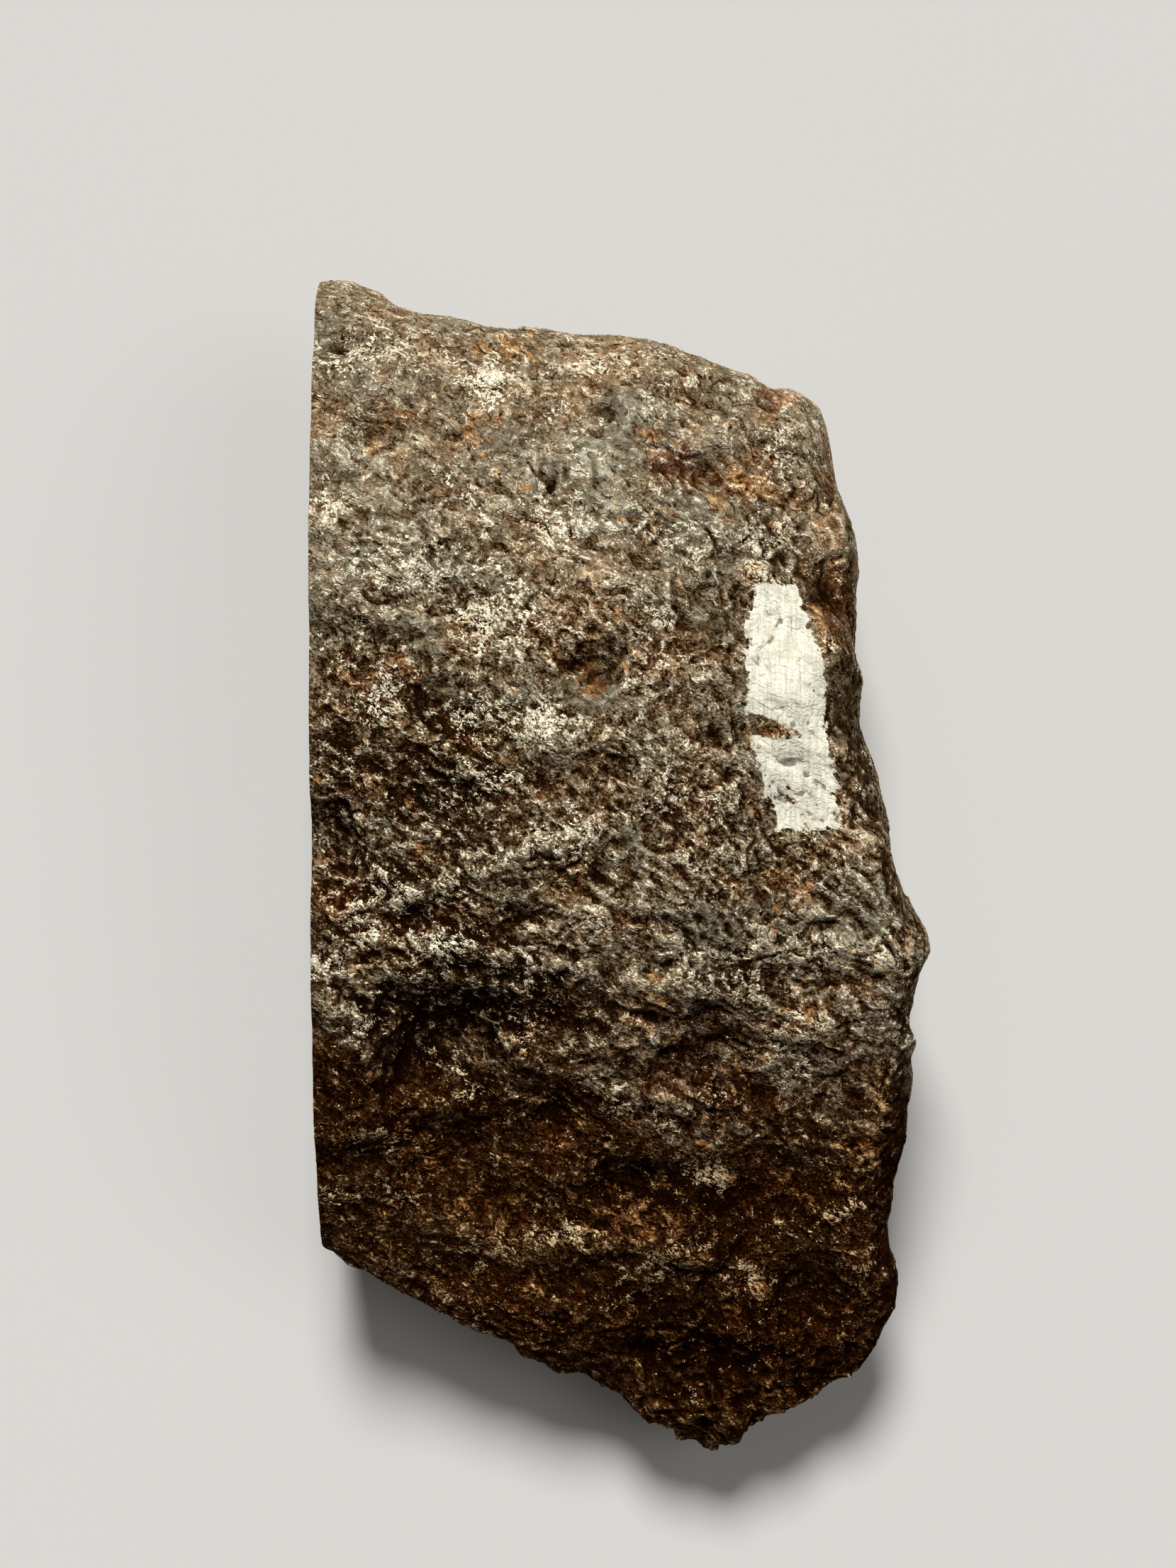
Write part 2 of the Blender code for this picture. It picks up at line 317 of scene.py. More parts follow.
def stoneBase():
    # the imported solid, its two flat faces pushed out so that they are cut back flat at the end
    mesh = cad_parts["meteorite"].data.copy()
    mesh.materials.clear()
    shape = bmesh.new()
    shape.from_mesh(mesh)
    bmesh.ops.remove_doubles(shape, verts=shape.verts, dist=stoneSettings["mergeWithin"])
    for vert in shape.verts:
        if vert.co.x < cadLow.x + stoneSettings["flatWithin"]:
            vert.co.x -= stoneSettings["sawOverrun"]
        if vert.co.z < cadLow.z + stoneSettings["flatWithin"]:
            vert.co.z -= stoneSettings["spotOverrun"]
    shape.to_mesh(mesh)
    shape.free()
    stone = linkObject("meteoriteStone", mesh)
    remesh = stone.modifiers.new("even", "REMESH")
    remesh.mode = "VOXEL"
    remesh.voxel_size = stoneSettings["voxel"]
    smooth = stone.modifiers.new("smooth", "SMOOTH")
    smooth.iterations = stoneSettings["smoothing"]
    return stone


def reliefTree(material):
    tree = bpy.data.node_groups.new("hacklyRelief", "GeometryNodeTree")
    tree.interface.new_socket("Geometry", in_out="INPUT", socket_type="NodeSocketGeometry")
    for name in reliefSettings:
        tree.interface.new_socket(name, in_out="INPUT", socket_type="NodeSocketFloat")
    tree.interface.new_socket("Geometry", in_out="OUTPUT", socket_type="NodeSocketGeometry")
    start = Sock(tree)
    group = start.make("NodeGroupInput")
    given = {name: group.other(name) for name in reliefSettings}
    place = start.make("GeometryNodeInputPosition")
    normal = start.make("GeometryNodeInputNormal")
    seed = start.make("ShaderNodeCombineXYZ", None, {axis: given["Seed"] for axis in range(3)})
    along = place.part(1)

    def counted(point, size, stretch=(1.0, 1.0, 1.0)):  # coordinates counted in features
        grown = point.vector("MULTIPLY", point, [1 / s for s in stretch]).scaled(1 / size)
        return grown.vector("ADD", grown, seed)

    def fractal(point, detail, rough=0.5):
        return point.make("ShaderNodeTexNoise", None,
                          {"Vector": point, "Scale": 1.0, "Detail": detail, "Roughness": rough})

    def zone(name):  # 0 to 1 along the piece
        starts, whole = reliefZones[name]
        return along.ramp(starts * mm, whole * mm)

    def facets(point, size, stretch):  # one flat scale for each cell, tilted its own way
        at = counted(point, size, stretch)
        cell = at.make("ShaderNodeTexVoronoi", None, {"Vector": at, "Scale": 1.0})
        away = at.vector("SUBTRACT", at, cell.other("Position"))
        lean = at.vector("SUBTRACT", cell.other("Color"), (0.5, 0.5, 0.5))
        tilt = at.make("ShaderNodeVectorMath", {"operation": "DOT_PRODUCT"}, {0: away, 1: lean}, 1)
        return tilt * 1.5 + (cell.other("Color").part(0) - 0.5) * 0.7

    # slow bends, so that the ledges and scales flow
    bend = fractal(counted(place, given["Warp Size"]), 1.0).other("Color")
    bend = bend.vector("SUBTRACT", bend, (0.5, 0.5, 0.5)).scaled(given["Warp Reach"])
    bent = place.vector("ADD", place, bend)

    # ledges: slow hills cut into steps, keeping only what the steps add
    hills = fractal(counted(bent, given["Ledge Size"], (1.35, 1.0, 1.0)), 3.0)
    hills = hills * given["Ledge Steps"]
    share = hills.maths("FRACT", hills)
    ledges = (share.ramp(0.62, 1.0) - share + 0.2) * given["Ledge Height"]

    # scales and flakes lie along the flow, down to the right
    turned = bent.turned(given["Flow Angle"])
    scales = facets(turned, given["Scale Size"], (1.7, 1.0, 1.0)) * given["Scale Height"]
    flakes = facets(turned, given["Flake Size"], (1.7, 1.0, 1.0)) * given["Flake Height"]
    grain = fractal(counted(bent, given["Grain Size"], (1.15, 1.0, 1.0)), 4.0, 0.65)
    grain = (grain - 0.5) * 2.0 * given["Grain Height"]

    pitAt = counted(bent, given["Pit Size"], (1.2, 1.0, 1.0))
    pit = pitAt.make("ShaderNodeTexVoronoi", None, {"Vector": pitAt, "Scale": 1.0})
    sunk = pit.other("Color").part(1).ramp(0.55, 0.8)
    pits = pit.ramp(0.34, 0.05) * sunk * given["Pit Depth"]

    # feathered ridges across the middle
    feather = fractal(counted(turned, given["Ridge Size"], (2.6, 1.0, 1.0)), 4.0, 0.6) - 0.5
    feather = 0.14 - abs(feather).smaller(0.14)
    ridges = feather * 7.0 * given["Ridge Height"] * (zone("ridgesTop") * zone("ridgesFoot"))

    # calmer and rougher stretches, a flatter top, a ragged tip and a plainer underside
    calm = fractal(counted(place, reliefZones["calmSize"] * mm), 2.0).ramp(0.36, 0.58) * 0.75 + 0.35
    ragged = zone("raggedTip") * 0.8 + 1.0 - zone("flatterTop") * 0.35
    under = normal.part(2).ramp(-0.45, -0.1) * 0.7 + 0.3
    relief = (ledges + ridges + (scales + flakes) * calm + grain - pits) * ragged * under
    teeth = fractal(counted(place, given["Tooth Size"]), 2.0) - 0.5
    relief = relief + teeth * 4.0 * given["Tooth Height"] * zone("toothedTip")

    # the steep right flank is smoother, drawn out along its length
    flank = normal.part(0).ramp(0.55, 0.85)
    drawn = fractal(counted(bent, given["Grain Size"], (1.0, 5.0, 1.0)), 3.0, 0.6) - 0.5
    relief = relief * (1 - flank * 0.6) + drawn * flank * given["Grain Height"] * 3.0

    # flatter under the brushed paint
    middle, half = reliefZones["paintMiddle"], reliefZones["paintHalf"]
    offX, offY = ((place.part(axis) - middle[axis] * mm) / (half[axis] * mm) for axis in range(2))
    painted = (offX * offX + offY * offY).ramp(1.5, 0.7)
    relief = relief * (1 - painted * 0.5)

    # slow variations of the patina, kept on the points
    moved = group.other("Geometry")
    pointValue = {"data_type": "FLOAT", "domain": "POINT"}
    for name, size, ownOffset in slowNoises:
        value = place.noise(size * mm, 4.0, 0.6, ownOffset, (1.2, 1, 1))
        moved = start.make("GeometryNodeStoreNamedAttribute", pointValue,
                           {"Geometry": moved, "Name": name, "Value": value})

    moved = start.make("GeometryNodeSetPosition", None,
                       {"Geometry": moved, "Offset": normal.scaled(relief)})
    real = start.make("GeometryNodeRealizeInstances", None, {"Geometry": moved})
    dressed = start.make("GeometryNodeSetMaterial", None, {"Geometry": real, "Material": material})
    start.fill(tree.nodes.new("NodeGroupOutput"), {0: dressed})
    return tree


def addTree(piece, tree, values):  # inputs are set by identifier before the first evaluation
    modifier = piece.modifiers.new(tree.name, "NODES")
    modifier.node_group = tree
    for item in tree.interface.items_tree:
        if item.in_out == "INPUT" and item.name in values:
            modifier[item.identifier] = values[item.name]


def cutFlat(mesh, sawMaterialIndex):
    # the saw cut, and the resting spot flattened to the floor
    shape = bmesh.new()
    shape.from_mesh(mesh)
    everything = shape.verts[:] + shape.edges[:] + shape.faces[:]
    bmesh.ops.bisect_plane(
        shape, geom=everything, dist=stoneSettings["mergeWithin"],
        plane_co=(cadLow.x, 0, 0), plane_no=(-1, 0, 0), clear_outer=True)
    rim = [edge for edge in shape.edges if edge.is_boundary]
    filled = bmesh.ops.triangle_fill(shape, edges=rim, use_beauty=True, normal=(-1, 0, 0))["geom"]
    for face in filled:
        if isinstance(face, bmesh.types.BMFace):
            face.material_index = sawMaterialIndex
    bmesh.ops.recalc_face_normals(shape, faces=shape.faces)
    for vert in shape.verts:
        vert.co.x = max(vert.co.x, cadLow.x)
        vert.co.z = max(vert.co.z, cadLow.z)
    loose = [edge for edge in shape.edges if not edge.is_manifold]
    print("saw cut made,", len(rim), "rim edges,", len(loose), "open edges")
    shape.to_mesh(mesh)
    shape.free()


# Rounds of smoothing after which the surface is compared with what it was, and the measure's name
measureRounds = {10: "crest", 60: "height"}
sawnEdgeWidth = 1.2 * mm  # the sharp sawn edge is no crest


def meshPoints(mesh):  # places and normals of its points
    places, normals = (np.empty(len(mesh.vertices) * 3, np.float32) for _ in range(2))
    mesh.vertices.foreach_get("co", places)
    mesh.vertices.foreach_get("normal", normals)
    return places.reshape(-1, 3).astype(float), normals.reshape(-1, 3)


def keepMeasure(mesh, name, values):
    stored = mesh.attributes.new(name, "FLOAT", "POINT")
    stored.data.foreach_set("value", values.astype(np.float32))


def surfaceMeasures(mesh):
    # how far each point of the even mesh stands out of its surroundings, fine ones and broad ones
    places, normals = meshPoints(mesh)
    count = len(places)
    ends = np.empty(len(mesh.edges) * 2, np.int32)
    mesh.edges.foreach_get("vertices", ends)
    first, second = ends.reshape(-1, 2).T
    degree = np.bincount(first, minlength=count) + np.bincount(second, minlength=count)
    offCut = np.clip((places[:, 0] - cadLow.x) / sawnEdgeWidth - 0.1, 0, 1)
    soft = places.copy()
    for turn in range(1, max(measureRounds) + 1):
        total = np.stack([
            np.bincount(first, soft[second, axis], count)
            + np.bincount(second, soft[first, axis], count) for axis in range(3)], axis=1)
        soft = 0.5 * soft + 0.5 * total / degree[:, None]
        if turn in measureRounds:
            stands = ((places - soft) * normals).sum(axis=1) / mm * offCut
            keepMeasure(mesh, measureRounds[turn], stands)
            print("  ", measureRounds[turn], np.percentile(stands, (1, 10, 50, 90, 99)).round(3))


# Colours of the natural surface, of its paint and of the saw cut
finishSettings = {
    "patina": [  # darkest crevice and painted shade to lightest rubbed grain and painted light
        (0.00, (0.008, 0.003, 0.001, 1)), (0.25, (0.042, 0.021, 0.0072, 1)),
        (0.50, (0.132, 0.095, 0.055, 1)), (0.72, (0.225, 0.180, 0.117, 1)),
        (1.00, (0.43, 0.37, 0.27, 1))],
    # below the break: darker patina, its darkness partly painted shade, its lightest stop partly a
    # painted golden glint
    "darkPatinaAndShade": [
        (0.00, (0.005, 0.0012, 0.0003, 1)), (0.35, (0.021, 0.0066, 0.0012, 1)),
        (0.60, (0.056, 0.025, 0.0080, 1)), (0.80, (0.145, 0.086, 0.038, 1)),
        (1.00, (0.36, 0.27, 0.16, 1))],
    "rust": [
        (0.00, (0.014, 0.0045, 0.0014, 1)), (0.35, (0.080, 0.030, 0.009, 1)),
        (0.65, (0.245, 0.110, 0.032, 1)), (1.00, (0.54, 0.32, 0.12, 1))],
    "redRust": [
        (0.00, (0.012, 0.0035, 0.001, 1)), (0.45, (0.085, 0.030, 0.012, 1)),
        (1.00, (0.32, 0.15, 0.075, 1))],
    # colours of the bare-metal flecks, golden below the break and light cream elsewhere, partly
    # painted glints
    "golden": (0.76, 0.60, 0.43, 1.0),
    "metal": [(0.40, (0.38, 0.32, 0.21, 1)), (0.60, (0.72, 0.66, 0.48, 1))],
    "warm": (1.16, 0.95, 0.79, 1.0),
    "cool": (0.89, 1.00, 1.06, 1.0),
    "paint": (0.71, 0.685, 0.56, 1.0),
    "paintThin": (0.50, 0.475, 0.37, 1.0),
    "sawn": (0.48, 0.47, 0.445, 1.0),
    "sawnDull": (0.38, 0.37, 0.345, 1.0),
    "sawnMark": (0.16, 0.15, 0.135, 1.0),
    "sawnRust": (0.20, 0.09, 0.035, 1.0),
}

# Patina: sizes in metres, places in millimetres, and how much each thing lightens or darkens
patinaSettings = {
    "bendSize": 2.6 * mm,
    "bendReach": 0.8 * mm,
    "coarseSize": 1.5 * mm,
    "gritSize": 0.42 * mm,
    "microSize": 0.24 * mm,
    "tintSize": 1.1 * mm,
    "flakeSize": 2.2 * mm,
    "flakeSteps": 6.0,
    "bumpHeight": 0.28 * mm,
    "frontHeight": 20.0,
    "lowerZone": (-5.5, -20.0),  # y where the darker patina and painted shade start and where they are whole
    "lowerLean": (0.2, 0.35),  # how far x and z move that
    "lowerWander": 36,
    "middleZone": (29.0, 22.0),
    "middleWander": 24,
    "tone": 0.58,
    "fineTone": 0.88,
    "coarseTone": 0.64,
    "slowTone": 0.34,
    "crestShadeAndWear": 2.0,
    "heightShadeAndWear": 0.42,
    "lipTone": 0.12,
    "footShadowTone": 0.40,
    "middleShade": 0.10,
    "lowerTone": 0.11,
}

# Rust: how much each thing adds to it, where it begins and is whole, and how much it covers
rustSettings = {
    "patches": 0.85,
    "strays": 0.40,
    "strayZone": (0.52, 0.70),
    "coarse": 2.4,
    "grit": 1.2,
    "zone": (0.30, 0.62),
    "redZone": (0.1, 0.5),
    "cover": 0.75,
}

# Rubbed bare metal and painted glints: sizes in metres, and what widens or narrows its shards and
# specks
bareSettings = {
    "shardSize": 1.1 * mm,
    "speckSize": 0.33 * mm,
    "shardReach": 0.003,
    "rubbedReach": 0.17,
    "crestReach": 0.4,
    "lipReach": 0.02,
    "plateReach": 0.03,
    "grainZone": (0.50, 0.54),
    "speckZone": (0.665, 0.69),
    "rubbedSpecks": 0.09,
    "plateSpecks": 0.04,
}

# Paint patch: its edges and the worn gap in it, in millimetres, and slopes
paintSettings = {
    "left": 10.5,
    "leftFoot": (15.0, 0.27),  # below this y the left edge leans away
    "leftHead": (22.0, 0.30),  # above this one too
    "right": [(22.9, 0.31), (19.4, 0.13)],  # x at y = 0, and slope
    "top": 25.6,
    "bottom": 4.3,
    "gapPlace": (12.2, 13.2),
    "gapHalf": (3.0, 0.95),
    "gapSlope": 0.22,
    "streakSize": 0.42 * mm,
    "thinZone": (0.40, 0.58),
}

# Gloss: how metallic and how rough each part of the natural surface is
glossSettings = {
    "ironMetal": 0.04,
    "bareMetal": 0.40,
    "ironRough": 0.62,
    "bareRough": 0.20,
    "rustRough": 0.18,
    "gritRough": 0.4,
    "paintRough": 0.60,
}

# Rust patches on the front: x, y, radius x, radius y in millimetres, strength, redness
rustPatches = [
    (-9.4, 46.8, 3.4, 1.9, 0.8, 0.2), (-12.5, 38.6, 2.2, 1.6, 0.9, 0.1),
    (-16.0, 42.3, 1.2, 0.8, 0.8, 0.0), (-19.6, 40.0, 0.8, 1.2, 0.8, 0.1),
    (-21.5, 37.2, 1.2, 0.9, 0.7, 0.3), (4.2, 35.8, 2.4, 1.9, 1.0, 0.9),
    (9.6, 34.6, 3.6, 2.4, 0.9, 0.1), (13.5, 42.5, 2.2, 1.4, 0.8, 0.6),
    (-2.9, 17.4, 1.5, 1.4, 1.2, 0.0), (-20.5, 17.3, 4.6, 1.7, 1.0, 0.4),
    (18.0, 24.0, 2.0, 4.6, 1.0, 0.1), (-23.2, 0.0, 2.6, 3.2, 0.6, 0.9),
    (3.2, -31.0, 4.2, 1.6, 0.8, 0.0), (-8.6, -12.2, 3.2, 2.6, 0.7, 0.1),
    (12.2, -0.6, 4.0, 3.0, 0.5, 0.4), (15.5, -11.0, 2.6, 2.2, 0.5, 0.3),
    (21.0, -24.5, 2.0, 3.4, 0.6, 0.2), (2.4, -11.4, 3.0, 1.8, 0.6, 0.3),
    (13.4, 12.9, 2.2, 1.0, 1.0, 0.0), (-4.0, 1.0, 2.0, 1.5, 0.5, 0.1),
    (-14.0, 12.5, 3.0, 1.8, 0.5, 0.3), (-19.0, 9.0, 5.5, 6.0, 0.30, 1.0),
    (-15.0, -3.5, 5.5, 3.2, 0.26, 1.0), (9.0, -44.0, 7.0, 4.0, 0.2, 1.0),
]

# Rubbed bare metal and painted glints on the front: x, y, radius x, radius y in millimetres,
# strength
bareAndGlintClusters = [
    (-24.0, 44.8, 1.3, 0.8, 0.9), (-22.4, 46.2, 1.6, 0.9, 0.9), (-20.4, 47.8, 1.2, 0.7, 0.8),
    (-19.7, 45.8, 0.9, 0.7, 1.0), (-11.3, 43.5, 2.4, 1.6, 1.0), (-1.8, 44.9, 2.0, 0.8, 0.9),
    (-13.3, 34.2, 1.0, 0.8, 1.0), (-5.8, 41.3, 0.9, 0.6, 0.8), (-5.6, 31.0, 2.2, 2.4, 0.9),
    (-18.9, 27.0, 4.6, 1.8, 0.9), (-11.1, 22.5, 3.4, 1.8, 1.0), (-20.3, 16.2, 1.1, 1.0, 1.0),
    (-25.1, 32.4, 1.4, 1.0, 0.9), (-12.0, 31.5, 1.1, 1.1, 0.8), (11.9, 28.8, 2.0, 2.4, 0.8),
    (7.4, 29.4, 1.6, 1.6, 0.7), (-6.8, 13.7, 2.8, 1.6, 1.0), (-4.6, 3.9, 2.8, 1.7, 0.6),
    (-26.0, -6.6, 1.7, 1.4, 0.9), (-23.1, -12.3, 2.0, 1.2, 0.9), (-22.6, -4.2, 1.4, 1.2, 0.8),
    (-17.1, -5.7, 2.4, 0.8, 0.8), (-17.7, -1.7, 2.6, 1.3, 0.5), (-14.1, -0.5, 1.5, 1.0, 0.5),
    (-5.0, -32.0, 4.0, 0.9, 0.9), (-12.5, -33.8, 3.2, 0.9, 0.7), (16.1, -13.0, 1.7, 1.0, 0.9),
    (3.0, -35.0, 2.8, 0.9, 0.8), (-0.6, -19.8, 1.4, 1.0, 0.7), (7.3, -26.4, 2.6, 1.2, 0.7),
    (10.8, -35.8, 1.5, 1.1, 0.8), (11.0, -7.6, 1.7, 1.5, 0.8), (3.6, 22.6, 1.3, 1.0, 0.8),
    (17.0, -6.0, 2.0, 1.4, 0.6), (22.5, -6.5, 1.6, 1.2, 0.6), (-8.0, -15.0, 1.8, 1.0, 0.5),
    (19.5, -30.0, 1.6, 1.2, 0.5), (-21.5, -23.0, 2.2, 1.0, 0.6),
]

# Painted shade in broad hollows and painted light on swells: x, y, radius x, radius y in
# millimetres, lightening
paintedShadeAreas = [
    (-8.0, 51.5, 16.0, 2.2, -0.20), (-7.4, 44.5, 4.5, 2.5, 0.05), (-14.8, 37.2, 3.2, 4.5, 0.08),
    (-4.0, 36.0, 5.0, 3.5, 0.10), (-17.0, 24.8, 5.0, 2.6, 0.10), (-4.9, 24.8, 3.0, 2.5, 0.12),
    (-9.9, 19.8, 2.6, 2.4, 0.09), (-19.7, 12.4, 5.5, 7.5, -0.22), (-14.8, 9.9, 5.0, 5.0, -0.22),
    (-9.9, 9.5, 3.0, 2.6, -0.16), (-24.8, 6.0, 2.6, 8.0, -0.24), (0.0, 9.9, 3.2, 3.2, -0.12),
    (4.9, 5.0, 3.2, 3.2, -0.10), (17.3, 2.5, 3.6, 3.8, -0.06), (-17.3, -2.5, 8.0, 3.0, -0.14),
    (-21.0, -0.5, 4.5, 3.0, -0.14), (-12.5, -5.0, 5.5, 2.6, -0.20), (-13.5, -10.3, 9.0, 3.6, -0.50),
    (9.9, -9.8, 3.0, 2.4, -0.22), (-17.5, -15.5, 5.0, 3.0, -0.12), (19.5, -17.0, 3.0, 4.0, -0.10),
    (-14.8, -19.7, 9.0, 4.0, -0.10), (-24.5, -19.7, 2.5, 3.5, -0.16), (13.0, -24.7, 6.0, 2.2, 0.10),
    (10.0, -29.6, 11.0, 3.0, -0.16), (3.5, -29.6, 5.0, 2.4, -0.14), (-4.5, -32.4, 5.0, 1.4, 0.15),
    (8.0, -42.0, 12.0, 5.0, -0.26), (8.0, -45.0, 5.0, 3.0, -0.16), (18.0, -40.0, 4.0, 4.0, -0.08),
    (3.0, -35.0, 3.6, 1.3, 0.13), (-12.0, 1.8, 6.0, 2.6, -0.19), (-4.0, -10.5, 4.5, 3.0, -0.12),
    (-2.9, 17.0, 3.0, 2.4, 0.08), (8.0, 47.2, 6.0, 2.0, -0.12), (14.8, 37.5, 3.0, 4.5, -0.09),
    (5.0, 44.0, 4.0, 2.2, -0.07), (-24.7, 44.0, 2.6, 3.0, -0.08), (-4.9, 5.0, 3.0, 2.5, -0.07),
    (-14.8, -4.9, 3.0, 2.4, -0.12), (-19.7, 0.5, 3.0, 2.6, -0.10),
]

# Smooth grey-green plates without flecks: x, y, radius x, radius y in millimetres
plates = [
    (-4.1, 34.6, 3.8, 2.2), (-1.1, 41.5, 2.4, 2.0), (-17.2, 20.8, 2.4, 1.9), (-3.0, 16.6, 3.4, 2.8),
    (7.5, 21.9, 2.5, 2.2), (7.8, -4.0, 2.6, 1.6), (-22.5, 27.5, 1.6, 1.6), (1.0, 3.0, 2.2, 1.6),
    (-11.0, 50.8, 6.5, 1.7), (0.5, 49.2, 6.5, 1.7), (9.0, 46.2, 4.5, 1.8),
]


# Where patches begin and over how much they come in, and what the tip and the right flank lose
patchSettings = {
    "facingUp": (0.1, 0.4),  # z of the normal
    "facingRight": (0.3, 0.3),  # x of the normal
    "belowShoulder": (-38, 4),  # millimetres along -y
    "atTip": (38, 7),
    "tipBareAndGlint": 0.6,
    "flankPaintedShade": 0.30,
    "flankPlate": 0.8,
}


def patchMeasures(mesh):
    # soft masks for the listed patches, kept on the points of the mesh
    places, normals = meshPoints(mesh)
    x, y, _ = places.T / mm
    wavyX = x + 0.7 * np.sin(1.9 * y + 0.8 * x) + 0.4 * np.sin(4.3 * y - 2.1 * x)
    wavyY = y + 0.6 * np.sin(2.3 * x - 0.7 * y) + 0.35 * np.sin(4.9 * x + 1.3 * y)

    def rising(values, name):
        begins, over = patchSettings[name]
        return np.clip((values - begins) / over, 0, 1)

    def spot(px, py, rx, ry):
        return np.exp(-(((wavyX - px) / rx) ** 2 + ((wavyY - py) / ry) ** 2))

    rust, red, bare, shade, plate = (np.zeros(len(x)) for _ in range(5))
    for *ellipse, strength, redness in rustPatches:
        here = spot(*ellipse)
        rust = np.maximum(rust, strength * here)
        red = np.maximum(red, strength * redness * here)
    for *ellipse, strength in bareAndGlintClusters:
        bare = np.maximum(bare, strength * spot(*ellipse))
    # painted shade in the hollows and painted light on the swells, added up
    for *ellipse, lightening in paintedShadeAreas:
        shade += lightening * spot(*ellipse)
    for ellipse in plates:
        plate = np.maximum(plate, spot(*ellipse))

    # hardly any bare metal or painted glint at the tip; painted shade on the right flank, which is
    # plainer too
    flank = rising(normals[:, 0], "facingRight") * rising(-y, "belowShoulder")
    bare -= patchSettings["tipBareAndGlint"] * rising(-y, "atTip")
    shade -= patchSettings["flankPaintedShade"] * flank
    plate = np.maximum(plate, patchSettings["flankPlate"] * flank)
    onTop = rising(normals[:, 2], "facingUp")
    measures = {
        "rust": rust, "red": red, "bare": bare, "shade": shade, "plate": plate, "onTop": 1.0}
    for name, values in measures.items():
        keepMeasure(mesh, name, values * onTop)


